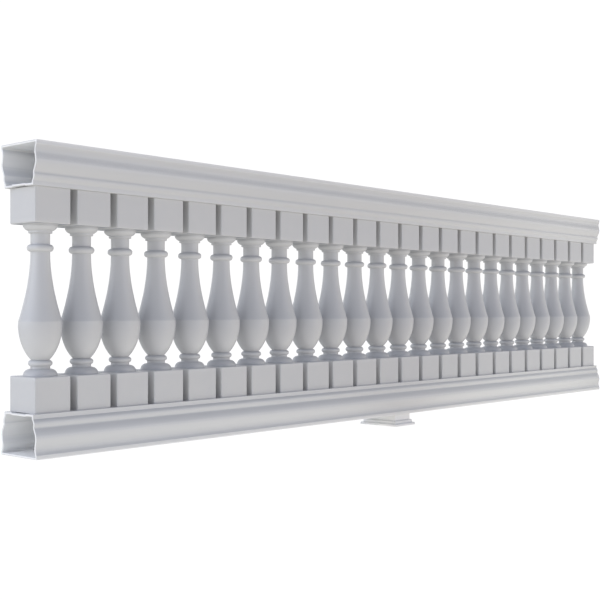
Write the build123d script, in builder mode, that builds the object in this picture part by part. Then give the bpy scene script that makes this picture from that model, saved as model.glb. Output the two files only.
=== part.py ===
"""Moulded balustrade section: two hollow rails, a row of turned balusters and a foot under mid length.

Sizes are in millimetres. X runs along the row, Y runs across it and Z is up. The origin is the middle
of the foot's underside.
"""

import os

from build123d import *

os.makedirs("parts", exist_ok=True)

# The row as a whole: the height runs from the underside of the bottom rail to the top of the top rail
baluster_count = 24
baluster_pitch = 152.4
end_overhang = 12.7
row_height = 914.4

# Rail section: insets are measured from the lip of the cap
rail_width = 177.8
rail_height = 129.0
rail_wall = 6.5
cap_lip_height = 12.0
cove_inset = 5.2
ovolo_inset = 0.8
quirk_inset = 12.0
bead_inset = 10.5
bead_end_inset = 12.8
seat_lip_height = 13.5
seat_lip_inset = 16.9
channel_width = 70.0
channel_depth = 2.0

# Levels of the rail's mouldings as shares of the stretch between its two lips, and slopes at its ends
cove_share = 0.188
ovolo_share = 0.444
quirk_share = 0.768
bead_share = 0.874
bead_end_share = 0.966
cove_slope_share = 0.55
quirk_slope_share = 0.45

# Square plinths at both ends of a baluster
plinth_side = 127.0
plinth_height = 105.0
plinth_edge_radius = 5.0

# Turned stem: mouldings from its foot to its cap
base_radius = 51.0
base_round_height = 20.3
stem_radius = 29.0
base_fillet_height = 8.2
lower_ring_radius = 36.0
lower_ring_height = 17.5
vase_foot_radius = 26.2
belly_radius = 64.2
belly_height = 114.3
upper_ring_radius = 39.4
upper_ring_height = 21.0
neck_height = 33.4
cap_fillet_radius = 35.4
cap_fillet_height = 6.6
cap_round_height = 13.0
cap_disc_radius = 50.3
cap_disc_height = 6.4

# Pull of the curves: radius as shares of the belly's, height as shares of the stretch from foot to crease
belly_low_shares = (0.906, 0.277)
belly_high_shares = (1.040, 0.734)
shaft_pull_share = 0.554
cap_round_shares = (0.71, 0.49)

# Foot under mid length: stem, rounded step and base plate
foot_length = 106.0
foot_inset = 14.9
foot_stem_height = 26.0
foot_step_height = 12.0
foot_step_reach = 7.5
foot_step_radius = 4.5
foot_plate_height = 10.0
foot_plate_reach = 16.5
foot_plate_radius = 4.0

# Worked-out lengths and levels
rail_length = (baluster_count - 1) * baluster_pitch + plinth_side + 2 * end_overhang
bottom_rail_underside = foot_plate_height + foot_step_height + foot_stem_height
lower_seat_level = bottom_rail_underside + rail_height
upper_seat_level = bottom_rail_underside + row_height - rail_height
turned_foot_level = lower_seat_level + plinth_height
turned_height = upper_seat_level - lower_seat_level - 2 * plinth_height
half_width = rail_width / 2
moulded_height = rail_height - cap_lip_height - seat_lip_height
lip_level = rail_height - cap_lip_height
cove_level = lip_level - moulded_height * cove_share
ovolo_level = lip_level - moulded_height * ovolo_share
quirk_level = lip_level - moulded_height * quirk_share
bead_level = lip_level - moulded_height * bead_share
bead_end_level = lip_level - moulded_height * bead_end_share
foot_depth = rail_width - 2 * foot_inset
lower_ring_level = base_round_height + base_fillet_height
vase_foot_level = lower_ring_level + lower_ring_height
cap_fillet_level = turned_height - cap_disc_height - cap_round_height - cap_fillet_height
cap_round_level = cap_fillet_level + cap_fillet_height
cap_disc_level = cap_round_level + cap_round_height
crease_level = vase_foot_level + belly_height
shaft_top_level = cap_fillet_level - neck_height - upper_ring_height
shaft_height = shaft_top_level - crease_level
along = (1, 0, 0)

# Rails: one hollow section, the bottom one turned over, so that both show their seats to the balusters
top_seat = Plane((-rail_length / 2, 0, upper_seat_level), x_dir=(0, 1, 0), z_dir=along)
bottom_seat = Plane((-rail_length / 2, 0, lower_seat_level), x_dir=(0, -1, 0), z_dir=along)
for rail_name, seat in (("top_rail", top_seat), ("bottom_rail", bottom_seat)):
    with BuildPart() as rail:
        with BuildSketch(seat):
            for skin, skin_mode in ((0, Mode.ADD), (rail_wall, Mode.SUBTRACT)):
                edge = half_width - skin
                with BuildLine():
                    Polyline(
                        (0, rail_height - skin),
                        (edge, rail_height - skin),
                        (edge, lip_level),
                    )
                    Spline(
                        (edge, lip_level),
                        (edge - cove_inset, cove_level),
                        (edge - ovolo_inset, ovolo_level),
                        (edge - quirk_inset, quirk_level),
                        tangents=((-cove_slope_share, -1), (-quirk_slope_share, -1)),
                    )
                    ThreePointArc(
                        (edge - quirk_inset, quirk_level),
                        (edge - bead_inset, bead_level),
                        (edge - bead_end_inset, bead_end_level),
                    )
                    Polyline(
                        (edge - bead_end_inset, bead_end_level),
                        (edge - seat_lip_inset, seat_lip_height),
                        (edge - seat_lip_inset, skin),
                        (channel_width / 2, skin),
                        (channel_width / 2 - channel_depth, channel_depth + skin),
                        (0, channel_depth + skin),
                    )
                    mirror(about=Plane.YZ)
                make_face(mode=skin_mode)
        extrude(amount=rail_length)
    rail.part.label = rail_name
    export_step(rail.part, f"parts/{rail_name}.step")

# Balusters: a turned stem between two square plinths
for number in range(baluster_count):
    place = (number - (baluster_count - 1) / 2) * baluster_pitch
    with BuildPart() as baluster:
        for plinth_level in (lower_seat_level, upper_seat_level - plinth_height):
            with BuildSketch(Plane((place, 0, plinth_level))):
                Rectangle(plinth_side, plinth_side)
            extrude(amount=plinth_height)
        upright_edges = baluster.edges().filter_by(Axis.Z)
        level_edges = baluster.edges().filter_by(Plane.XY).group_by(Axis.Z)
        fillet(upright_edges + level_edges[1] + level_edges[2], plinth_edge_radius)
        with BuildSketch(Plane((place, 0, turned_foot_level), x_dir=along, z_dir=(0, -1, 0))):
            with BuildLine():
                Polyline((0, 0), (base_radius, 0))
                RadiusArc(
                    (base_radius, 0),
                    (base_radius - base_round_height, base_round_height),
                    -base_round_height,
                )
                Polyline(
                    (base_radius - base_round_height, base_round_height),
                    (stem_radius, base_round_height),
                    (stem_radius, lower_ring_level),
                )
                ThreePointArc(
                    (stem_radius, lower_ring_level),
                    (lower_ring_radius, lower_ring_level + lower_ring_height / 2),
                    (vase_foot_radius, vase_foot_level),
                )
                Bezier(
                    (vase_foot_radius, vase_foot_level),
                    (
                        belly_radius * belly_low_shares[0],
                        vase_foot_level + belly_height * belly_low_shares[1],
                    ),
                    (
                        belly_radius * belly_high_shares[0],
                        vase_foot_level + belly_height * belly_high_shares[1],
                    ),
                    (belly_radius, crease_level),
                )
                Bezier(
                    (belly_radius, crease_level),
                    (stem_radius, crease_level + shaft_height * shaft_pull_share),
                    (stem_radius, shaft_top_level),
                )
                ThreePointArc(
                    (stem_radius, shaft_top_level),
                    (upper_ring_radius, shaft_top_level + upper_ring_height / 2),
                    (stem_radius, shaft_top_level + upper_ring_height),
                )
                Polyline(
                    (stem_radius, shaft_top_level + upper_ring_height),
                    (stem_radius, cap_fillet_level),
                    (cap_fillet_radius, cap_fillet_level),
                    (cap_fillet_radius, cap_round_level),
                )
                ThreePointArc(
                    (cap_fillet_radius, cap_round_level),
                    (
                        cap_fillet_radius + (cap_disc_radius - cap_fillet_radius) * cap_round_shares[0],
                        cap_round_level + cap_round_height * cap_round_shares[1],
                    ),
                    (cap_disc_radius, cap_disc_level),
                )
                Polyline(
                    (cap_disc_radius, cap_disc_level),
                    (cap_disc_radius, turned_height),
                    (0, turned_height),
                    (0, 0),
                )
            make_face()
        revolve(axis=Axis((place, 0, 0), (0, 0, 1)))
    baluster_name = f"baluster_{number + 1:02d}"
    baluster.part.label = baluster_name
    export_step(baluster.part, f"parts/{baluster_name}.step")

# Foot: base plate and step with rounded edges, then the plain stem that meets the rail
with BuildPart() as support_foot:
    with BuildSketch():
        Rectangle(foot_length + 2 * foot_plate_reach, foot_depth + 2 * foot_plate_reach)
    extrude(amount=foot_plate_height)
    fillet(support_foot.edges().group_by(Axis.Z)[-1], foot_plate_radius)
    with BuildSketch(Plane.XY.offset(foot_plate_height)):
        Rectangle(foot_length + 2 * foot_step_reach, foot_depth + 2 * foot_step_reach)
    extrude(amount=foot_step_height)
    fillet(support_foot.edges().group_by(Axis.Z)[-1], foot_step_radius)
    with BuildSketch(Plane.XY.offset(foot_plate_height + foot_step_height)):
        Rectangle(foot_length, foot_depth)
    extrude(amount=foot_stem_height)
support_foot.part.label = "support_foot"
export_step(support_foot.part, "parts/support_foot.step")
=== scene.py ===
"""Looks of the white moulded balustrade section.

Swept pieces with a satin finish replace the CAD's rails, balusters and foot. They stand on a light table
in soft light. Sizes are in millimetres unless a comment says otherwise; the scene itself is in metres.
"""
import bisect
import math

import bmesh
import bpy
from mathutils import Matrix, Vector


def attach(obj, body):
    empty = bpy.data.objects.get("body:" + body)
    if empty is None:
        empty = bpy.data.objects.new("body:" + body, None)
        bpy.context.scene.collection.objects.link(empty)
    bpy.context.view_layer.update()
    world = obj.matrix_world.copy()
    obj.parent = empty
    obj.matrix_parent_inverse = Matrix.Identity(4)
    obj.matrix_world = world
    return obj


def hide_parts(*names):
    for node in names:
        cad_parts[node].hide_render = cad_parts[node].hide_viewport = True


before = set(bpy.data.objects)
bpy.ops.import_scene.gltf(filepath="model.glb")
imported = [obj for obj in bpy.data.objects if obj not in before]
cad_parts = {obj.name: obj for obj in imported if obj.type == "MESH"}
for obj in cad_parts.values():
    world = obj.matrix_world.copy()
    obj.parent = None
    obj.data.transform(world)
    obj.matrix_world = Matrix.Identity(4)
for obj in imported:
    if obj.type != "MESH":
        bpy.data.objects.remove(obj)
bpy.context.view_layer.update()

MM = 0.001

# The row
BALUSTER_COUNT = 24
BALUSTER_PITCH = 152.4
PLINTH_SIDE = 127.0
END_OVERHANG = 12.7
ROW_HEIGHT = 914.4
RAIL_LENGTH = (BALUSTER_COUNT - 1) * BALUSTER_PITCH + PLINTH_SIDE + 2 * END_OVERHANG

# Rail section: insets from the lip of the cap, and levels as shares of the stretch between the two lips
RAIL_WIDTH = 177.8
RAIL_HEIGHT = 129.0
RAIL_WALL = 6.5
LIP_HEIGHT = 12.0
CYMA_POINTS = ((0.0, 0.0), (5.2, 0.188), (0.8, 0.444), (12.4, 0.768))
CYMA_TANGENTS = ((0.55, 1.0), (0.5, 1.0))
BEAD_POINTS = ((12.4, 0.768), (10.5, 0.874), (13.6, 0.956))
SEAT_LIP_HEIGHT = 13.5
SEAT_LIP_INSET = 16.9
CHANNEL_WIDTH = 70.0
CHANNEL_DEPTH = 2.0

# Rounding of the rails' cut ends: its size, and the share of it between its middle and both faces
RIM_ROUND = 0.8
RIM_MIDDLE = 0.3

# Plinths and turned stem
PLINTH_HEIGHT = 105.0
PLINTH_ROUND = 4.0
SEAT_EDGE_ROUND = 0.6
BASE_RADIUS = 51.0
BASE_ROUND_HEIGHT = 20.3
STEM_RADIUS = 29.0
BASE_FILLET_HEIGHT = 8.2
LOWER_RING_RADIUS = 36.0
LOWER_RING_HEIGHT = 17.5
VASE_FOOT_RADIUS = 26.2
BELLY_RADIUS = 64.2
BELLY_HEIGHT = 114.3
BELLY_LOW = (0.906, 0.277)
BELLY_HIGH = (1.040, 0.734)
SHAFT_PULL = 0.554
UPPER_RING_RADIUS = 39.4
UPPER_RING_HEIGHT = 21.0
NECK_HEIGHT = 33.4
CAP_FILLET_RADIUS = 35.4
CAP_FILLET_HEIGHT = 6.6
CAP_ROUND_HEIGHT = 13.0
CAP_ROUND = (0.71, 0.49)
CAP_DISC_RADIUS = 50.3
CAP_DISC_HEIGHT = 6.4

# Width of the round margin that a plinth's flat face has about the stem
STEM_MARGIN = 1.0

# Foot under mid length, and how far in from its edge the underside's outline starts
FOOT_LENGTH = 106.0
FOOT_INSET = 14.9
FOOT_STEM_HEIGHT = 26.0
FOOT_STEP_HEIGHT = 12.0
FOOT_STEP_REACH = 7.5
FOOT_STEP_ROUND = 4.5
FOOT_PLATE_HEIGHT = 10.0
FOOT_PLATE_REACH = 16.5
FOOT_PLATE_ROUND = 4.0
FOOT_CORNER_ROUND = 2.0
FOOT_UNDERSIDE_RIM = 3.0

# Levels
RAIL_UNDERSIDE = FOOT_PLATE_HEIGHT + FOOT_STEP_HEIGHT + FOOT_STEM_HEIGHT
LOWER_SEAT = RAIL_UNDERSIDE + RAIL_HEIGHT
UPPER_SEAT = RAIL_UNDERSIDE + ROW_HEIGHT - RAIL_HEIGHT
TURNED_FOOT = LOWER_SEAT + PLINTH_HEIGHT
TURNED_TOP = UPPER_SEAT - PLINTH_HEIGHT

# Lengths over which the meetings of strokes are eased, in order along each section
RAIL_EASES = (1.3, 0.8, 4.0, 0.6, 0.8, 1.0, 0.5, 0.5)
STEM_EASES = (0.5, 0.7, 0.7, 0.6, 0.7, 0.8, 0.7, 0.6, 0.7, 0.6, 0.8)
FOOT_EASES = (0.5, 0.3, 0.3, 0.6, 0.3, 0.3, 0.6)

# An ease takes up to this share of the part beside it, and is drawn in this many steps
EASE_LIMIT = 0.9
EASE_STEPS = 4

# Straight parts that the strokes are drawn with
STEP_PARTS = 2
SHORT_PARTS = 3
FLAT_PARTS = 6
TOP_PARTS = 12
CYMA_PARTS = 9
BEAD_PARTS = 8
ROUND_PARTS = 12
BELLY_PARTS = 26
SHAFT_PARTS = 30
UPPER_RING_PARTS = 14
CAP_ROUND_PARTS = 8
PLINTH_WALL_PARTS = 8
EDGE_PARTS = 6

# Facets of the swept plan's corners and sides
CORNER_FACETS = 8
SIDE_FACETS = 12

# Rounds of averaging that settle the slopes of a smooth stroke
SMOOTHING_ROUNDS = 60

# Welding of seams and clearing of slivers, in metres
WELD_DISTANCE = 2e-6
SLIVER_LENGTH = 1e-7

# Reach of painted shade in nooks, of painted highlight on ridges, and of painted shade between neighbours
NOOK_REACHES = (4.0, 9.0)
RIDGE_REACHES = (2.0, 11.0)
NEIGHBOUR_REACH = 68.0

# Gain of the painted shade in nooks and the painted highlight on ridges, and the room beside a piece that has
# no neighbour
SHADE_AND_HIGHLIGHT_GAIN = 2.0
OPEN_ROOM = 1000.0

# Finish: how fine the streaks and patches are, how the noises are mixed, how far the patches break up the
# painted shade and highlight, and how much rougher the painted shade is
STREAKS_PER_METRE = 160.0
PATCHES_PER_CLOUD = 5.0
CLOUD_PART = 0.65
TONE_SPAN = (0.32, 0.68)
NOISE_SPAN = (0.3, 0.7)
LEAST_PAINTED_LIGHT = 0.85
STIPPLE_IN_GLOSS = 0.4
STIPPLE_IN_RELIEF = 0.7
PAINTED_SHADE_ROUGHNESS = 0.25

# How far up a surface faces where each kind of painted shade, and the painted light on downward stem faces,
# starts and where it is full
FLAT_FACING = (0.85, 0.98)
RISE_START = 0.05
UNDER_FACING = (-0.8, -0.97)
FALL_FACING = (-0.1, -0.6)

# Stem mark at which the painted shade on undersides starts and is full, so that it stays on the plinths
STEM_FADE = (1.0, 0.75)

# Skin: height and strength of its relief, bending of light, and how much paler the inside of a rail is
# painted, as painted light in the hollow
RAIL_RELIEF = 0.02
STEM_RELIEF = 0.03
RELIEF_STRENGTH = 0.5
SKIN_IOR = 1.5
INSIDE_LIGHT_GAIN = 0.3

# Camera: where the photograph was taken from, in metres, and its framing in pixels
EYE = Vector((-3.585, -2.554, 0.475))
LOOK_ANGLE = math.radians(46.885)
FOCAL_PIXELS = 1044.0
PICTURE_SIDE = 600.0
AXIS_COLUMN = 247.5
AXIS_ROW = 310.28
SENSOR_WIDTH = 36.0
CLIP_END = 60.0

# Soft light: each broad glow's turn from straight in front of the row towards its far end, its rise, both in
# degrees, its tightness and its colour
SKY_GLOWS = (
    (0, 0, 6, (0.4, 0.5, 0.8)),  # cool, in front
    (30, 0, 6, (1.4, 1.35, 1.3)),  # warm, in front, towards the far end
    (80, -5, 5, (1.0, 1.0, 1.0)),  # at the far end
    (135, 0, 4, (1.2, 1.2, 1.2)),  # behind, towards the far end
    (180, 5, 4, (0.7, 0.7, 0.7)),  # behind
    (-105, 0, 4, (1.6, 1.6, 1.6)),  # at the near end
    (-105, 35, 5, (1.1, 1.2, 1.5)),  # cool, above the near end
    (0, 90, 6, (0.6, 0.6, 0.65)),  # overhead
)
FLOOR_GLOWS = (
    (0, 0, 0.5, (0.68, 0.64, 0.6)),  # in front
    (-90, 0, 4, (0.6, 0.6, 0.58)),  # beyond the near end
    (90, 0, 4, (0.65, 0.65, 0.62)),  # beyond the far end
    (180, 0, 1, (0.3, 0.3, 0.3)),  # behind
)

# The floor glows more close to the row: by this share, falling off over this many metres
NEAR_GLOW = 0.25
NEAR_REACH = 0.4

# The floor's half side in metres, its own colour, and the whites that floor and sky show to the camera
FLOOR_HALF_SIDE = 40.0
FLOOR_COLOUR = (0.12, 0.12, 0.12, 1.0)
FLOOR_ROUGHNESS = 0.9
FLOOR_WHITE = (0.97, 0.97, 0.97, 1.0)
SKY_WHITE = 1.05


# Drawing of sections: every stroke is a list of points

def straight(start, end, parts):
    """Points on a straight stroke."""
    return [
        tuple(first + (last - first) * step / parts for first, last in zip(start, end))
        for step in range(parts + 1)
    ]


def bow(start, middle, end, parts):
    """Points on the arc through three points."""
    corners = (start, middle, end)
    rises = (middle[1] - end[1], end[1] - start[1], start[1] - middle[1])
    runs = (end[0] - middle[0], start[0] - end[0], middle[0] - start[0])
    squares = [across * across + up * up for across, up in corners]
    doubled = 2 * sum(corner[0] * rise for corner, rise in zip(corners, rises))
    centre_across = sum(square * rise for square, rise in zip(squares, rises)) / doubled
    centre_up = sum(square * run for square, run in zip(squares, runs)) / doubled
    radius = math.hypot(start[0] - centre_across, start[1] - centre_up)

    def bearing(point):
        return math.atan2(point[1] - centre_up, point[0] - centre_across)

    first = bearing(start)
    via = (bearing(middle) - first) % math.tau
    turn = (bearing(end) - first) % math.tau
    if via > turn:
        turn -= math.tau
    angles = [first + turn * step / parts for step in range(parts + 1)]
    return [
        (centre_across + radius * math.cos(angle), centre_up + radius * math.sin(angle))
        for angle in angles
    ]


def pulled(points, parts):
    """Points on a Bezier stroke with any number of pulling points."""
    stroke = []
    for step in range(parts + 1):
        share = step / parts
        level = [tuple(point) for point in points]
        while len(level) > 1:
            level = [
                tuple(first + (last - first) * share for first, last in zip(here, there))
                for here, there in zip(level, level[1:])
            ]
        stroke.append(level[0])
    return stroke


def smooth_slopes(values, gaps, first, last):
    """Slopes that make a stroke through values smooth, between the slopes given at its ends."""
    rises = [(after - before) / gap for before, after, gap in zip(values, values[1:], gaps)]
    slopes = [first] + [0.0] * (len(values) - 2) + [last]
    for _ in range(SMOOTHING_ROUNDS):
        for number in range(1, len(values) - 1):
            before, after = gaps[number - 1], gaps[number]
            target = 3 * (after * rises[number - 1] + before * rises[number])
            target -= after * slopes[number - 1] + before * slopes[number + 1]
            slopes[number] = target / (2 * (before + after))
    return slopes


def flowing(points, tangents, parts):
    """Points on the smooth stroke through points, with the slope given at both ends."""
    gaps = [math.dist(here, there) for here, there in zip(points, points[1:])]
    slopes = []
    for axis in range(2):
        first, last = [tangent[axis] / math.hypot(*tangent) for tangent in tangents]
        slopes.append(smooth_slopes([point[axis] for point in points], gaps, first, last))
    stroke = [tuple(points[0])]
    for number, gap in enumerate(gaps):
        for step in range(1, parts + 1):
            share = step / parts
            start_weight = 2 * share ** 3 - 3 * share ** 2 + 1
            start_pull = (share ** 3 - 2 * share ** 2 + share) * gap
            end_weight = 3 * share ** 2 - 2 * share ** 3
            end_pull = (share ** 3 - share ** 2) * gap
            stroke.append(tuple(
                start_weight * points[number][axis] + start_pull * slopes[axis][number]
                + end_weight * points[number + 1][axis] + end_pull * slopes[axis][number + 1]
                for axis in range(2)
            ))
    return stroke


def joined(strokes, eases):
    """One line of points from strokes that meet, each meeting eased over its own short length."""
    line = list(strokes[0])
    for stroke, ease in zip(strokes[1:], eases):
        corner = Vector(line.pop())
        rest = stroke[1:]
        while math.dist(line[-1], corner) < ease:
            line.pop()
        while math.dist(rest[0], corner) < ease:
            rest = rest[1:]
        back = Vector(line[-1]) - corner
        ahead = Vector(rest[0]) - corner
        start = corner + back.normalized() * min(ease, EASE_LIMIT * back.length)
        end = corner + ahead.normalized() * min(ease, EASE_LIMIT * ahead.length)
        for step in range(EASE_STEPS + 1):
            share = step / EASE_STEPS
            line.append(tuple(
                start * (1 - share) ** 2 + corner * 2 * share * (1 - share) + end * share ** 2
            ))
        line.extend(rest)
    return line


def quarter_round(side, level, size, upward):
    """Rounded level edge, from the flat face to the upright one."""
    angles = [math.pi / 2 * step / EDGE_PARTS for step in range(EDGE_PARTS + 1)]
    return [
        (side - size + size * math.sin(angle), level + upward * size * (1 - math.cos(angle)))
        for angle in angles
    ]


def rail_outline(skin):
    """Closed outline of a rail, across and up from its seat, a skin's thickness inside the outer face."""
    edge = RAIL_WIDTH / 2 - skin
    top = RAIL_HEIGHT - skin
    lip = RAIL_HEIGHT - LIP_HEIGHT
    stretch = lip - SEAT_LIP_HEIGHT
    cyma = [(edge - inset, lip - share * stretch) for inset, share in CYMA_POINTS]
    bead = [(edge - inset, lip - share * stretch) for inset, share in BEAD_POINTS]
    slopes = [(-across, -down) for across, down in CYMA_TANGENTS]
    seat_edge = edge - SEAT_LIP_INSET
    half_channel = CHANNEL_WIDTH / 2
    channel_corner = (half_channel - CHANNEL_DEPTH, CHANNEL_DEPTH + skin)
    half = joined(
        [
            straight((0.0, top), (edge, top), TOP_PARTS),
            straight((edge, top), cyma[0], SHORT_PARTS),
            flowing(cyma, slopes, CYMA_PARTS),
            bow(*bead, BEAD_PARTS),
            straight(bead[-1], (seat_edge, SEAT_LIP_HEIGHT), SHORT_PARTS),
            straight((seat_edge, SEAT_LIP_HEIGHT), (seat_edge, skin), SHORT_PARTS),
            straight((seat_edge, skin), (half_channel, skin), FLAT_PARTS),
            straight((half_channel, skin), channel_corner, STEP_PARTS),
            straight(channel_corner, (0.0, CHANNEL_DEPTH + skin), FLAT_PARTS),
        ],
        RAIL_EASES,
    )
    return half + [(-across, up) for across, up in reversed(half[1:-1])]


def stem_outline():
    """Turned stem from foot to cap: radius, and height above the lower plinth."""
    height = TURNED_TOP - TURNED_FOOT
    ring_level = BASE_ROUND_HEIGHT + BASE_FILLET_HEIGHT
    vase_level = ring_level + LOWER_RING_HEIGHT
    crease = vase_level + BELLY_HEIGHT
    cap_level = height - CAP_DISC_HEIGHT - CAP_ROUND_HEIGHT - CAP_FILLET_HEIGHT
    round_level = cap_level + CAP_FILLET_HEIGHT
    disc_level = round_level + CAP_ROUND_HEIGHT
    shaft_top = cap_level - NECK_HEIGHT - UPPER_RING_HEIGHT
    neck_level = shaft_top + UPPER_RING_HEIGHT
    shoulder = BASE_RADIUS - BASE_ROUND_HEIGHT
    diagonal = BASE_ROUND_HEIGHT * math.sqrt(0.5)
    cap_middle = (
        CAP_FILLET_RADIUS + (CAP_DISC_RADIUS - CAP_FILLET_RADIUS) * CAP_ROUND[0],
        round_level + CAP_ROUND_HEIGHT * CAP_ROUND[1],
    )
    belly = [
        (VASE_FOOT_RADIUS, vase_level),
        (BELLY_RADIUS * BELLY_LOW[0], vase_level + BELLY_HEIGHT * BELLY_LOW[1]),
        (BELLY_RADIUS * BELLY_HIGH[0], vase_level + BELLY_HEIGHT * BELLY_HIGH[1]),
        (BELLY_RADIUS, crease),
    ]
    shaft = [
        (BELLY_RADIUS, crease),
        (STEM_RADIUS, crease + (shaft_top - crease) * SHAFT_PULL),
        (STEM_RADIUS, shaft_top),
    ]
    return joined(
        [
            bow(
                (BASE_RADIUS, 0.0),
                (shoulder + diagonal, diagonal),
                (shoulder, BASE_ROUND_HEIGHT),
                ROUND_PARTS,
            ),
            straight((shoulder, BASE_ROUND_HEIGHT), (STEM_RADIUS, BASE_ROUND_HEIGHT), 1),
            straight((STEM_RADIUS, BASE_ROUND_HEIGHT), (STEM_RADIUS, ring_level), SHORT_PARTS),
            bow(
                (STEM_RADIUS, ring_level),
                (LOWER_RING_RADIUS, ring_level + LOWER_RING_HEIGHT / 2),
                (VASE_FOOT_RADIUS, vase_level),
                ROUND_PARTS,
            ),
            pulled(belly, BELLY_PARTS),
            pulled(shaft, SHAFT_PARTS),
            bow(
                (STEM_RADIUS, shaft_top),
                (UPPER_RING_RADIUS, shaft_top + UPPER_RING_HEIGHT / 2),
                (STEM_RADIUS, neck_level),
                UPPER_RING_PARTS,
            ),
            straight((STEM_RADIUS, neck_level), (STEM_RADIUS, cap_level), FLAT_PARTS),
            straight((STEM_RADIUS, cap_level), (CAP_FILLET_RADIUS, cap_level), STEP_PARTS),
            straight((CAP_FILLET_RADIUS, cap_level), (CAP_FILLET_RADIUS, round_level), SHORT_PARTS),
            bow((CAP_FILLET_RADIUS, round_level), cap_middle, (CAP_DISC_RADIUS, disc_level), CAP_ROUND_PARTS),
            straight((CAP_DISC_RADIUS, disc_level), (CAP_DISC_RADIUS, height), SHORT_PARTS),
        ],
        STEM_EASES,
    )


def plinth_side_line(bottom, top, bottom_round, top_round):
    """Upright side of a square block with both its level edges rounded."""
    side = PLINTH_SIDE / 2
    low = quarter_round(side, bottom, bottom_round, 1.0)
    high = quarter_round(side, top, top_round, -1.0)
    wall = straight((side, bottom + bottom_round), (side, top - top_round), PLINTH_WALL_PARTS)
    return low[:-1] + wall + list(reversed(high))[1:]


def baluster_section():
    """Half section of a baluster: radius, squareness (one on the plinths) and height."""
    lower = plinth_side_line(LOWER_SEAT, TURNED_FOOT, SEAT_EDGE_ROUND, PLINTH_ROUND)
    upper = plinth_side_line(TURNED_TOP, UPPER_SEAT, PLINTH_ROUND, SEAT_EDGE_ROUND)
    section = [(0.0, 0.0, LOWER_SEAT)]
    section += [(across, 1.0, level) for across, level in lower]
    section += [(BASE_RADIUS + STEM_MARGIN, 0.0, TURNED_FOOT)]
    section += [(radius, 0.0, TURNED_FOOT + level) for radius, level in stem_outline()]
    section += [(CAP_DISC_RADIUS + STEM_MARGIN, 0.0, TURNED_TOP)]
    section += [(across, 1.0, level) for across, level in upper]
    section += [(0.0, 0.0, UPPER_SEAT)]
    return section


def foot_section():
    """Half section of the foot: reach beyond the stem, squareness and height."""
    plate_top = FOOT_PLATE_HEIGHT
    step_top = plate_top + FOOT_STEP_HEIGHT
    plate_edge = list(reversed(quarter_round(FOOT_PLATE_REACH, plate_top, FOOT_PLATE_ROUND, -1.0)))
    step_edge = list(reversed(quarter_round(FOOT_STEP_REACH, step_top, FOOT_STEP_ROUND, -1.0)))
    plate_side_top = (FOOT_PLATE_REACH, plate_top - FOOT_PLATE_ROUND)
    step_side_top = (FOOT_STEP_REACH, step_top - FOOT_STEP_ROUND)
    plate_flat = (FOOT_PLATE_REACH - FOOT_PLATE_ROUND, plate_top)
    step_flat = (FOOT_STEP_REACH - FOOT_STEP_ROUND, step_top)
    line = joined(
        [
            straight((FOOT_PLATE_REACH - FOOT_UNDERSIDE_RIM, 0.0), (FOOT_PLATE_REACH, 0.0), STEP_PARTS),
            straight((FOOT_PLATE_REACH, 0.0), plate_side_top, SHORT_PARTS),
            plate_edge,
            straight(plate_flat, (FOOT_STEP_REACH, plate_top), STEP_PARTS),
            straight((FOOT_STEP_REACH, plate_top), step_side_top, SHORT_PARTS),
            step_edge,
            straight(step_flat, (0.0, step_top), STEP_PARTS),
            straight((0.0, step_top), (0.0, RAIL_UNDERSIDE), FLAT_PARTS),
        ],
        FOOT_EASES,
    )
    section = [(0.0, 0.0, 0.0)]
    section += [(reach, 1.0, level) for reach, level in line]
    section += [(0.0, 0.0, RAIL_UNDERSIDE)]
    return section


def shade_and_highlight_line(line, outward):
    """How deep in a nook and how proud on a ridge each point of a section lies, both from zero to one; these
    set the painted shade in nooks and the painted highlight on ridges.
    """
    lengths = [0.0]
    for here, there in zip(line, line[1:]):
        lengths.append(lengths[-1] + math.dist(here, there))

    def point_at(length):
        length = min(max(length, 0.0), lengths[-1])
        number = max(1, bisect.bisect_left(lengths, length))
        gap = lengths[number] - lengths[number - 1]
        share = (length - lengths[number - 1]) / gap if gap else 0.0
        return Vector(line[number - 1]).lerp(Vector(line[number]), share)

    def bend(length, reach):
        """Height of a chord's middle above the line, as a share of its half length."""
        before, after = point_at(length - reach), point_at(length + reach)
        along = (after - before).normalized()
        normal = Vector((along.y, -along.x)) * outward
        return ((before + after) / 2 - point_at(length)).dot(normal) / reach

    shade_marks = []
    for length in lengths:
        nook = sum(max(bend(length, reach), 0.0) for reach in NOOK_REACHES) / len(NOOK_REACHES)
        ridge = sum(max(-bend(length, reach), 0.0) for reach in RIDGE_REACHES) / len(RIDGE_REACHES)
        shade_marks.append((min(SHADE_AND_HIGHLIGHT_GAIN * nook, 1.0), min(SHADE_AND_HIGHLIGHT_GAIN * ridge, 1.0), 0.0))
    return shade_marks


def guide(name, points):
    """Line of loose points that a node tree reads a section, its marks for painted shade and highlight, or
    its run from.
    """
    mesh = bpy.data.meshes.new(name)
    mesh.from_pydata(points, [], [])
    line = bpy.data.objects.new(name, mesh)
    bpy.context.scene.collection.objects.link(line)
    return line


# Node trees

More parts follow.
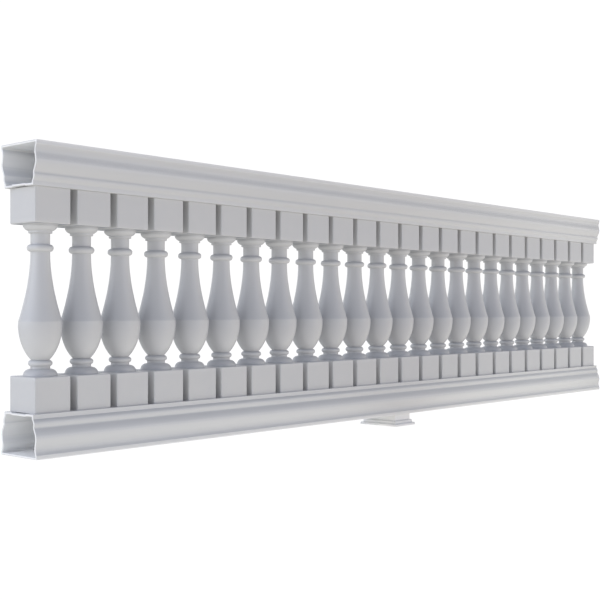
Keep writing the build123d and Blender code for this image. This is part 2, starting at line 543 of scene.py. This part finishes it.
class NodeDesk:
    """Small helper that adds and links nodes in one tree."""

    def __init__(self, tree):
        self.tree = tree

    def node(self, kind, inputs=None, **settings):
        item = self.tree.nodes.new(kind)
        for key, value in settings.items():
            setattr(item, key, value)
        for key, value in (inputs or {}).items():
            self.feed(item.inputs[key], value)
        return item

    def feed(self, socket, value):
        if isinstance(value, bpy.types.NodeSocket):
            self.tree.links.new(value, socket)
        else:
            socket.default_value = value

    def calc(self, operation, first, second=0.0, third=0.0):
        return self.node("ShaderNodeMath", {0: first, 1: second, 2: third}, operation=operation).outputs[0]

    def vector(self, operation, first, second=(0.0, 0.0, 0.0)):
        return self.node("ShaderNodeVectorMath", {0: first, 1: second}, operation=operation).outputs[0]

    def facing(self, first, second):
        inputs = {0: first, 1: second}
        return self.node("ShaderNodeVectorMath", inputs, operation="DOT_PRODUCT").outputs["Value"]

    def scaled(self, vector, amount):
        return self.node("ShaderNodeVectorMath", {0: vector, "Scale": amount}, operation="SCALE").outputs[0]

    def point(self, across, along, up):
        return self.node("ShaderNodeCombineXYZ", {0: across, 1: along, 2: up}).outputs[0]

    def split(self, vector):
        return self.node("ShaderNodeSeparateXYZ", {0: vector}).outputs

    def spread(self, value, span, low=0.0, high=1.0):
        start, end = span
        return self.node("ShaderNodeMapRange", {0: value, 1: start, 2: end, 3: low, 4: high}).outputs[0]

    def blended(self, share, first, second):
        return self.node("ShaderNodeMix", {0: share, 6: first, 7: second}, data_type="RGBA").outputs[2]

    def mark(self, label):
        return self.node("ShaderNodeAttribute", attribute_name=label).outputs["Fac"]


def shape_tree(name, inputs):
    """Empty node tree for a piece, with its named inputs."""
    tree = bpy.data.node_groups.new(name, "GeometryNodeTree")
    for label, kind in inputs:
        tree.interface.new_socket(label, in_out="INPUT", socket_type="NodeSocket" + kind)
    tree.interface.new_socket("Piece", in_out="OUTPUT", socket_type="NodeSocketGeometry")
    desk = NodeDesk(tree)
    return tree, desk, desk.node("NodeGroupInput").outputs


def grid_of(desk, columns, rows):
    """Grid with its column and row numbers."""
    grid = desk.node("GeometryNodeMeshGrid", {
        "Size X": columns, "Size Y": rows,
        "Vertices X": desk.calc("ADD", columns, 1.0), "Vertices Y": desk.calc("ADD", rows, 1.0),
    }).outputs["Mesh"]
    place = desk.split(desk.node("GeometryNodeInputPosition").outputs[0])
    column = desk.calc("ROUND", desk.calc("MULTIPLY_ADD", columns, 0.5, place[0]))
    row = desk.calc("ROUND", desk.calc("MULTIPLY_ADD", rows, 0.5, place[1]))
    return grid, column, row


def read_guide(desk, line, index):
    """Point of a guide line by its number."""
    shape = desk.node("GeometryNodeObjectInfo", {"Object": line}).outputs["Geometry"]
    sample = desk.node("GeometryNodeSampleIndex", data_type="FLOAT_VECTOR", domain="POINT")
    desk.feed(sample.inputs["Geometry"], shape)
    desk.feed(sample.inputs["Value"], desk.node("GeometryNodeInputPosition").outputs[0])
    desk.feed(sample.inputs["Index"], index)
    return sample.outputs[0]


def marked(desk, shape, marks):
    """Shape with named values kept on its points for the finish to read."""
    for label, value in marks.items():
        inputs = {"Geometry": shape, "Name": label, "Value": value}
        store = desk.node("GeometryNodeStoreNamedAttribute", inputs, data_type="FLOAT", domain="POINT")
        shape = store.outputs[0]
    return shape


def close_tree(desk, shape, places, finish):
    """Moves the grid to its place, welds its seams and gives it its finish."""
    moved = desk.node("GeometryNodeSetPosition", {"Geometry": shape, "Position": places}).outputs[0]
    weld = {"Geometry": moved, "Distance": WELD_DISTANCE}
    welded = desk.node("GeometryNodeMergeByDistance", weld).outputs[0]
    smooth = desk.node("GeometryNodeSetShadeSmooth", {"Geometry": welded}).outputs[0]
    real = desk.node("GeometryNodeRealizeInstances", {"Geometry": smooth}).outputs[0]
    done = desk.node("GeometryNodeSetMaterial", {"Geometry": real, "Material": finish}).outputs[0]
    desk.node("NodeGroupOutput", {0: done})


def squared_plan(desk, given, column, quarter_facets, reach):
    """Place of a column in a plan that is square with rounded corners."""
    quarter = desk.calc("FLOOR", desk.calc("DIVIDE", column, quarter_facets))
    turn = desk.calc("MULTIPLY", quarter, math.pi / 2)
    step = desk.calc("SUBTRACT", column, desk.calc("MULTIPLY", quarter, quarter_facets))
    corner_share = desk.calc("MINIMUM", desk.calc("DIVIDE", step, given["Corner Facets"]), 1.0)
    bend = desk.calc("MULTIPLY", corner_share, math.pi / 2)
    past = desk.calc("SUBTRACT", step, given["Corner Facets"])
    run = desk.calc("MAXIMUM", desk.calc("DIVIDE", past, given["Side Facets"]), 0.0)

    def turned(vector):
        inputs = {"Vector": vector, "Angle": turn}
        return desk.node("ShaderNodeVectorRotate", inputs, rotation_type="Z_AXIS").outputs[0]

    spot = turned(desk.point(desk.calc("MULTIPLY_ADD", run, -2.0, 1.0), 1.0, 0.0))
    outward = turned(desk.point(desk.calc("COSINE", bend), desk.calc("SINE", bend), 0.0))
    inner_reach = desk.calc("SUBTRACT", reach, given["Corner Round"])
    half_length = desk.calc("ADD", given["Half Length"], inner_reach)
    half_depth = desk.calc("ADD", given["Half Depth"], inner_reach)
    core = desk.vector("MULTIPLY", spot, desk.point(half_length, half_depth, 0.0))
    return desk.vector("ADD", core, desk.scaled(outward, given["Corner Round"]))


def rounded_plan(desk, given, column, facets, reach):
    """Place of a column in a round plan, with the same columns on the diagonals as in the square one."""
    middle = desk.calc("SUBTRACT", column, desk.calc("MULTIPLY", given["Corner Facets"], 0.5))
    angle = desk.calc("MULTIPLY_ADD", middle, desk.calc("DIVIDE", math.tau, facets), math.pi / 4)
    return desk.scaled(desk.point(desk.calc("COSINE", angle), desk.calc("SINE", angle), 0.0), reach)


def closeness(desk, given, plan):
    """How close a place is to the middle between two neighbours, from zero to one."""
    aside = desk.split(plan)[0]
    left = desk.calc("ADD", given["Room Left"], aside)
    right = desk.calc("SUBTRACT", given["Room Right"], aside)
    room = desk.calc("MINIMUM", left, right)
    return desk.calc("MAXIMUM", desk.calc("MULTIPLY_ADD", room, -1.0 / (NEIGHBOUR_REACH * MM), 1.0), 0.0)


def block_and_stem_tree():
    """Sweeps a section round a plan that is square where the section says so, and else round."""
    tree, desk, given = shape_tree("block_and_stem", (
        ("Section", "Object"), ("Shade Marks", "Object"), ("Rows", "Int"), ("Centre", "Float"),
        ("Half Length", "Float"), ("Half Depth", "Float"), ("Corner Round", "Float"),
        ("Corner Facets", "Int"), ("Side Facets", "Int"), ("Room Left", "Float"), ("Room Right", "Float"),
        ("Finish", "Material"),
    ))
    quarter_facets = desk.calc("ADD", given["Corner Facets"], given["Side Facets"])
    facets = desk.calc("MULTIPLY", quarter_facets, 4.0)
    grid, column, row = grid_of(desk, facets, given["Rows"])
    reach, square, level = desk.split(read_guide(desk, given["Section"], row))
    squared = squared_plan(desk, given, column, quarter_facets, reach)
    rounded = rounded_plan(desk, given, column, facets, reach)
    plan = desk.vector("ADD", rounded, desk.scaled(desk.vector("SUBTRACT", squared, rounded), square))
    places = desk.vector("ADD", plan, desk.point(given["Centre"], 0.0, level))
    nook, ridge, _ = desk.split(read_guide(desk, given["Shade Marks"], row))
    stem = desk.calc("SUBTRACT", 1.0, square)
    between = desk.calc("MULTIPLY", closeness(desk, given, plan), stem)
    # nook and between set painted shade, ridge a painted highlight, and stem where the painted shade under
    # plinths ends and the painted light on downward stem faces lies
    grid = marked(desk, grid, {"nook": nook, "between": between, "ridge": ridge, "stem": stem})
    close_tree(desk, grid, places, given["Finish"])
    return tree


def hollow_rail_tree():
    """Sweeps a double-skinned outline along a run that goes out over one skin and back over the other."""
    tree, desk, given = shape_tree("hollow_rail", (
        ("Outer Outline", "Object"), ("Inner Outline", "Object"), ("Shade Marks", "Object"), ("Run", "Object"),
        ("Columns", "Int"), ("Rows", "Int"), ("Finish", "Material"),
    ))
    grid, column, row = grid_of(desk, given["Columns"], given["Rows"])
    column = desk.calc("MODULO", column, given["Columns"])
    row = desk.calc("MODULO", row, given["Rows"])
    outer = read_guide(desk, given["Outer Outline"], column)
    inner = read_guide(desk, given["Inner Outline"], column)
    along, skin, _ = desk.split(read_guide(desk, given["Run"], row))
    nook, ridge, _ = desk.split(read_guide(desk, given["Shade Marks"], column))
    # On the outer skin nooks get painted shade and ridges a painted highlight; on the inner skin the outer
    # ridges, its nooks, get painted shade; the rounded rim of the cut ends gets a painted highlight
    outside = desk.calc("SUBTRACT", 1.0, skin)
    rim = desk.calc("MULTIPLY", desk.calc("MULTIPLY", skin, outside), 4.0)
    grid = marked(desk, grid, {
        "inside": skin,
        "nook": desk.calc("MULTIPLY_ADD", nook, outside, desk.calc("MULTIPLY", ridge, skin)),
        "ridge": desk.calc("MAXIMUM", desk.calc("MULTIPLY", ridge, outside), desk.calc("MINIMUM", rim, 1.0)),
    })
    wall = desk.vector("ADD", outer, desk.scaled(desk.vector("SUBTRACT", inner, outer), skin))
    close_tree(desk, grid, desk.vector("ADD", wall, desk.point(along, 0.0, 0.0)), given["Finish"])
    return tree


def grown(name, tree, values):
    """Runs a node tree with the values given by name and keeps the result as a plain, outward-facing mesh."""
    carrier = bpy.data.objects.new(name + "_carrier", bpy.data.meshes.new(name + "_carrier"))
    bpy.context.scene.collection.objects.link(carrier)
    modifier = carrier.modifiers.new("shape", "NODES")
    modifier.node_group = tree
    for item in tree.interface.items_tree:
        if item.in_out == "INPUT":
            modifier[item.identifier] = values[item.name]
    depsgraph = bpy.context.evaluated_depsgraph_get()
    mesh = bpy.data.meshes.new_from_object(carrier.evaluated_get(depsgraph))
    carrier.modifiers.remove(modifier)
    bpy.data.objects.remove(carrier)
    mesh.name = name
    shell = bmesh.new()
    shell.from_mesh(mesh)
    bmesh.ops.dissolve_degenerate(shell, edges=shell.edges, dist=SLIVER_LENGTH)
    bmesh.ops.recalc_face_normals(shell, faces=shell.faces)
    shell.to_mesh(mesh)
    shell.free()
    piece = bpy.data.objects.new(name, mesh)
    bpy.context.scene.collection.objects.link(piece)
    return piece


# Finish

def finish_group():
    """Shared look of the moulded skin, as a node group with the balusters' values as its defaults.

    It has faint clouds, stipple and drawn streaks; painted shade in nooks, on upward slopes and tops, under
    the plinths and between neighbours;
    and a painted highlight on ridges and painted light where a stem faces down.
    """
    group = bpy.data.node_groups.new("moulded_skin", "ShaderNodeTree")
    for label, kind, value in (
        ("Pale", "Color", (0.615, 0.615, 0.612, 1.0)),
        ("Dull", "Color", (0.59, 0.595, 0.60, 1.0)),
        # Colour of the painted shade, then of the painted highlight and painted light
        ("Shade Colour", "Color", (0.335, 0.355, 0.395, 1.0)),
        ("Highlight Colour", "Color", (0.74, 0.74, 0.74, 1.0)),
        # Shares of painted shade in nooks, on upward slopes, on tops, between neighbours and under plinths,
        # then of painted light on downward stem faces and painted highlight on ridges
        ("Nook Shade Share", "Float", 0.05),
        ("Slope Shade Share", "Float", 0.38),
        ("Full Slope", "Float", 0.65),
        ("Top Shade Share", "Float", 0.3),
        ("Between Shade Share", "Float", 0.4),
        ("Under Shade Share", "Float", 1.0),
        ("Downward Light Share", "Float", 0.2),
        ("Ridge Highlight Share", "Float", 0.3),
        ("Cloud Size", "Float", 6.0),
        ("Stipple Size", "Float", 420.0),
        ("Streak Share", "Float", 0.0),
        ("Drawn Out", "Float", 1.0),
        ("Gloss Low", "Float", 0.28),
        ("Gloss High", "Float", 0.36),
    ):
        socket = group.interface.new_socket(label, in_out="INPUT", socket_type="NodeSocket" + kind)
        socket.default_value = value
    for label, kind in (("Colour", "Color"), ("Roughness", "Float"), ("Height", "Float")):
        group.interface.new_socket(label, in_out="OUTPUT", socket_type="NodeSocket" + kind)
    desk = NodeDesk(group)
    given = desk.node("NodeGroupInput").outputs
    surface = desk.node("ShaderNodeTexCoord").outputs
    place = surface["Object"]
    upward = desk.split(surface["Normal"])[2]
    drawn = desk.vector("MULTIPLY", place, desk.point(given["Drawn Out"], 1.0, 1.0))

    def noise(where, size, detail, rough=0.5):
        inputs = {"Vector": where, "Scale": size, "Detail": detail, "Roughness": rough}
        return desk.node("ShaderNodeTexNoise", inputs).outputs[0]

    cloud = noise(place, given["Cloud Size"], detail=4.0, rough=0.55)
    patch = noise(drawn, desk.calc("MULTIPLY", given["Cloud Size"], PATCHES_PER_CLOUD), detail=3.0)
    streak = noise(drawn, STREAKS_PER_METRE, detail=3.0, rough=0.6)
    stipple = noise(place, given["Stipple Size"], detail=2.0)
    broken = desk.spread(patch, NOISE_SPAN, LEAST_PAINTED_LIGHT, 1.0)

    def summed(first, share, second):
        """Two noises added by shares that make one."""
        return desk.calc("MULTIPLY_ADD", first, share, desk.calc("MULTIPLY", second, 1.0 - share))

    def patchy(amount, share):
        """Share of a painted shade or highlight amount, broken up by the patches."""
        return desk.calc("MULTIPLY", desk.calc("MULTIPLY", amount, broken), share)

    cloudy = summed(cloud, CLOUD_PART, patch)
    streaky = desk.calc("MULTIPLY_ADD", desk.calc("SUBTRACT", streak, cloudy), given["Streak Share"], cloudy)
    flat = desk.spread(upward, FLAT_FACING)
    rising = desk.spread(upward, (RISE_START, given["Full Slope"]))
    under = desk.spread(upward, UNDER_FACING)
    falling = desk.spread(upward, FALL_FACING)
    stem = desk.mark("stem")
    # Painted shade: darker in nooks, on upward slopes and tops, between neighbours and under the plinths
    painted_shade = 0.0
    for amount, share in (
        (desk.mark("nook"), "Nook Shade Share"),
        (desk.calc("SUBTRACT", rising, flat), "Slope Shade Share"),
        (flat, "Top Shade Share"),
        (desk.mark("between"), "Between Shade Share"),
        (desk.calc("MULTIPLY", under, desk.spread(stem, STEM_FADE)), "Under Shade Share"),
    ):
        painted_shade = desk.calc("ADD", patchy(amount, given[share]), painted_shade)
    painted_shade = desk.calc("MINIMUM", painted_shade, 1.0)
    # Painted light: paler where a stem faces down
    downward_light = desk.calc("MULTIPLY", desk.calc("SUBTRACT", falling, under), stem)
    downward_light = desk.calc("MULTIPLY", downward_light, given["Downward Light Share"])
    # Painted highlight: paler on ridges
    ridge_highlight = patchy(desk.mark("ridge"), given["Ridge Highlight Share"])
    colour = desk.blended(desk.spread(streaky, TONE_SPAN), given["Dull"], given["Pale"])
    colour = desk.blended(painted_shade, colour, given["Shade Colour"])
    colour = desk.blended(downward_light, colour, given["Highlight Colour"])
    colour = desk.blended(ridge_highlight, colour, given["Highlight Colour"])
    gloss_noise = summed(stipple, STIPPLE_IN_GLOSS, streaky)
    gloss = desk.spread(gloss_noise, NOISE_SPAN, given["Gloss Low"], given["Gloss High"])
    # The painted shade is also made rougher
    gloss = desk.calc("MULTIPLY_ADD", painted_shade, PAINTED_SHADE_ROUGHNESS, gloss)
    desk.node("NodeGroupOutput", {0: colour, 1: gloss, 2: summed(stipple, STIPPLE_IN_RELIEF, streaky)})
    return group


def moulded_white(name, group, relief, values, lit_inside=False):
    """Satin white skin of one kind of piece; the inner face of a hollow one is painted paler, as painted
    light.
    """
    material = bpy.data.materials.new(name)
    material.use_nodes = True
    desk = NodeDesk(material.node_tree)
    shader = material.node_tree.nodes["Principled BSDF"]
    skin = desk.node("ShaderNodeGroup", node_tree=group)
    for label, value in values.items():
        skin.inputs[label].default_value = value
    bump = desk.node("ShaderNodeBump", {"Height": skin.outputs["Height"]})
    bump.inputs["Strength"].default_value = RELIEF_STRENGTH
    bump.inputs["Distance"].default_value = relief * MM
    colour = skin.outputs["Colour"]
    if lit_inside:
        # Inside of the hollow painted paler, as painted light
        colour = desk.scaled(colour, desk.calc("MULTIPLY_ADD", desk.mark("inside"), INSIDE_LIGHT_GAIN, 1.0))
    desk.feed(shader.inputs["Base Color"], colour)
    desk.feed(shader.inputs["Roughness"], skin.outputs["Roughness"])
    desk.feed(shader.inputs["Normal"], bump.outputs["Normal"])
    shader.inputs["IOR"].default_value = SKIN_IOR
    return material


def rail_white(group):
    """Skin of the rails: drawn streaks, a painted highlight on the lips, painted shade on upward slopes and a
    paler inside as painted light.
    """
    return moulded_white("rail_white", group, RAIL_RELIEF, {
        "Pale": (0.665, 0.665, 0.66, 1.0), "Dull": (0.645, 0.65, 0.65, 1.0),
        "Streak Share": 0.25, "Drawn Out": 0.04,
        # Shares of painted shade, and the colour and share of the painted highlight that grows towards the
        # lip
        "Nook Shade Share": 0.02, "Slope Shade Share": 0.42, "Full Slope": 0.42, "Top Shade Share": 0.05, "Under Shade Share": 0.0,
        "Highlight Colour": (0.88, 0.88, 0.87, 1.0), "Ridge Highlight Share": 0.9, "Gloss Low": 0.22, "Gloss High": 0.27,
    }, lit_inside=True)


def baluster_white(group):
    """Skin of the balusters: the group's own values."""
    return moulded_white("baluster_white", group, STEM_RELIEF, {})


def foot_white(group):
    """Skin of the foot: paler, and with less painted shade on slopes, tops and undersides than the rest."""
    return moulded_white("foot_white", group, STEM_RELIEF, {
        "Pale": (0.88, 0.88, 0.88, 1.0), "Dull": (0.84, 0.845, 0.85, 1.0), "Cloud Size": 9.0,
        "Slope Shade Share": 0.25, "Top Shade Share": 0.1, "Under Shade Share": 0.0,
    })


# Studio

def place_camera():
    """Level camera whose picture plane is moved sideways and up as the photograph's framing is."""
    data = bpy.data.cameras.new("camera")
    data.sensor_width = SENSOR_WIDTH
    data.lens = FOCAL_PIXELS / PICTURE_SIDE * SENSOR_WIDTH
    data.shift_x = (PICTURE_SIDE / 2 - AXIS_COLUMN) / PICTURE_SIDE
    data.shift_y = (AXIS_ROW - PICTURE_SIDE / 2) / PICTURE_SIDE
    data.clip_end = CLIP_END
    camera = bpy.data.objects.new("camera", data)
    bpy.context.scene.collection.objects.link(camera)
    forward = Vector((math.sin(LOOK_ANGLE), math.cos(LOOK_ANGLE), 0.0))
    camera.location = EYE
    camera.rotation_euler = forward.to_track_quat("-Z", "Y").to_euler()
    bpy.context.scene.camera = camera


def summed_glow(desk, heading, glows):
    """Colour in one heading of several broad glows."""
    total = (0.0, 0.0, 0.0)
    for turn, rise, tightness, colour in glows:
        around, above = math.radians(turn), math.radians(rise)
        level = math.cos(above)
        middle = (math.sin(around) * level, -math.cos(around) * level, math.sin(above))
        share = desk.calc("POWER", desk.calc("MAXIMUM", desk.facing(heading, middle), 0.0), tightness)
        total = desk.vector("ADD", desk.scaled(colour, share), total)
    return total


def light_table():
    """Floor that glows as a light table does, most close to the row, and shows as plain white."""
    mesh = bpy.data.meshes.new("light_table")
    side = FLOOR_HALF_SIDE
    corners = [(-side, -side, 0), (side, -side, 0), (side, side, 0), (-side, side, 0)]
    mesh.from_pydata(corners, [], [(0, 1, 2, 3)])
    floor = bpy.data.objects.new("light_table", mesh)
    bpy.context.scene.collection.objects.link(floor)
    material = bpy.data.materials.new("light_table")
    material.use_nodes = True
    desk = NodeDesk(material.node_tree)
    shader = material.node_tree.nodes["Principled BSDF"]
    seen = desk.node("ShaderNodeLightPath").outputs["Is Camera Ray"]
    place = desk.node("ShaderNodeTexCoord").outputs["Object"]
    away = desk.calc("DIVIDE", desk.split(place)[1], NEAR_REACH)
    near = desk.calc("DIVIDE", NEAR_GLOW, desk.calc("MULTIPLY_ADD", away, away, 1.0))
    given_off = summed_glow(desk, desk.vector("NORMALIZE", place), FLOOR_GLOWS)
    given_off = desk.scaled(given_off, desk.calc("ADD", near, 1.0))
    shader.inputs["Base Color"].default_value = FLOOR_COLOUR
    shader.inputs["Roughness"].default_value = FLOOR_ROUGHNESS
    shader.inputs["Specular IOR Level"].default_value = 0.0
    shader.inputs["Emission Strength"].default_value = 1.0
    desk.feed(shader.inputs["Emission Color"], desk.blended(seen, given_off, FLOOR_WHITE))
    mesh.materials.append(material)


def soft_sky():
    """Sky of a few broad glows that lights the row, and shows as plain white."""
    world = bpy.data.worlds.new("soft_sky")
    world.use_nodes = True
    bpy.context.scene.world = world
    desk = NodeDesk(world.node_tree)
    light = world.node_tree.nodes["Background"]
    heading = desk.node("ShaderNodeTexCoord").outputs["Generated"]
    desk.feed(light.inputs["Color"], summed_glow(desk, heading, SKY_GLOWS))
    white = desk.node("ShaderNodeBackground")
    white.inputs["Color"].default_value = (1.0, 1.0, 1.0, 1.0)
    white.inputs["Strength"].default_value = SKY_WHITE
    seen = desk.node("ShaderNodeLightPath").outputs["Is Camera Ray"]
    shown = desk.node("ShaderNodeMixShader", {0: seen, 1: light.outputs[0], 2: white.outputs[0]}).outputs[0]
    desk.feed(world.node_tree.nodes["World Output"].inputs["Surface"], shown)


# Assembly

def add_piece(piece, node):
    """Puts a piece in the place of a CAD node."""
    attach(piece, "root")
    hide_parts(node)


def section_guides(name, section):
    """Guides for a swept piece: its half section and the marks for painted shade and highlight along it."""
    shape = guide(name + "_section", [(reach * MM, square, level * MM) for reach, square, level in section])
    shade_marks = guide(name + "_wear", shade_and_highlight_line([(reach, level) for reach, _, level in section], 1.0))
    return shape, shade_marks


def build_balusters(tree, finish):
    """One swept piece for each baluster, all from the same section."""
    section = baluster_section()
    shape, shade_marks = section_guides("baluster", section)
    for number in range(BALUSTER_COUNT):
        name = f"baluster_{number + 1:02d}"
        piece = grown("moulded_" + name, tree, {
            "Section": shape, "Shade Marks": shade_marks, "Rows": len(section) - 1,
            "Centre": (number - (BALUSTER_COUNT - 1) / 2) * BALUSTER_PITCH * MM,
            "Half Length": 0.0, "Half Depth": 0.0, "Corner Round": PLINTH_ROUND * MM,
            "Corner Facets": CORNER_FACETS, "Side Facets": SIDE_FACETS,
            # Room to each neighbour, for the painted shade between balusters
            "Room Left": (BALUSTER_PITCH / 2 if number else OPEN_ROOM) * MM,
            "Room Right": (BALUSTER_PITCH / 2 if number < BALUSTER_COUNT - 1 else OPEN_ROOM) * MM,
            "Finish": finish,
        })
        add_piece(piece, name)
    bpy.data.objects.remove(shape)
    bpy.data.objects.remove(shade_marks)


def build_foot(tree, finish):
    """The foot, swept round an oblong plan."""
    section = foot_section()
    shape, shade_marks = section_guides("foot", section)
    piece = grown("moulded_foot", tree, {
        "Section": shape, "Shade Marks": shade_marks, "Rows": len(section) - 1, "Centre": 0.0,
        "Half Length": FOOT_LENGTH / 2 * MM, "Half Depth": (RAIL_WIDTH / 2 - FOOT_INSET) * MM,
        "Corner Round": FOOT_CORNER_ROUND * MM,
        "Corner Facets": CORNER_FACETS, "Side Facets": SIDE_FACETS,
        "Room Left": OPEN_ROOM * MM, "Room Right": OPEN_ROOM * MM, "Finish": finish,
    })
    bpy.data.objects.remove(shape)
    bpy.data.objects.remove(shade_marks)
    add_piece(piece, "support_foot")


def rail_run():
    """Run of a rail's sweep: place along the row, and depth in the wall from the outer skin to the inner."""
    end = RAIL_LENGTH / 2
    share = RIM_ROUND / RAIL_WALL
    rim = (
        (RIM_ROUND, 0.0), (RIM_MIDDLE * RIM_ROUND, RIM_MIDDLE * share), (0.0, share),
        (0.0, 1 - share), (RIM_MIDDLE * RIM_ROUND, 1 - RIM_MIDDLE * share), (RIM_ROUND, 1.0),
    )
    return [(-end + back, skin) for back, skin in rim] + [(end - back, skin) for back, skin in reversed(rim)]


def build_rails(finish):
    """Both hollow rails; the painted highlight on their ridges grows towards the lip of the cap."""
    tree = hollow_rail_tree()
    run = rail_run()
    run_guide = guide("rail_run", [(along * MM, skin, 0.0) for along, skin in run])
    outline = rail_outline(0.0)
    # Nooks and ridges of the outline for painted shade and highlight, the highlight growing towards the cap's
    # lip
    shade_marks = guide("rail_wear", [
        (nook, ridge * up / RAIL_HEIGHT, 0.0)
        for (nook, ridge, _), (_, up) in zip(shade_and_highlight_line(outline, -1.0), outline)
    ])
    for name, seat, upward in (("top_rail", UPPER_SEAT, 1.0), ("bottom_rail", LOWER_SEAT, -1.0)):
        skins = []
        for label, depth in (("_outer", 0.0), ("_inner", RAIL_WALL)):
            places = [(0.0, across * MM, (seat + upward * up) * MM) for across, up in rail_outline(depth)]
            skins.append(guide(name + label, places))
        piece = grown("moulded_" + name, tree, {
            "Outer Outline": skins[0], "Inner Outline": skins[1], "Shade Marks": shade_marks, "Run": run_guide,
            "Columns": len(outline), "Rows": len(run), "Finish": finish,
        })
        for skin in skins:
            bpy.data.objects.remove(skin)
        add_piece(piece, name)
    bpy.data.objects.remove(run_guide)
    bpy.data.objects.remove(shade_marks)


skin_group = finish_group()
swept_tree = block_and_stem_tree()
build_rails(rail_white(skin_group))
build_balusters(swept_tree, baluster_white(skin_group))
build_foot(swept_tree, foot_white(skin_group))
place_camera()
light_table()
soft_sky()
bpy.context.scene.view_settings.view_transform = "Standard"
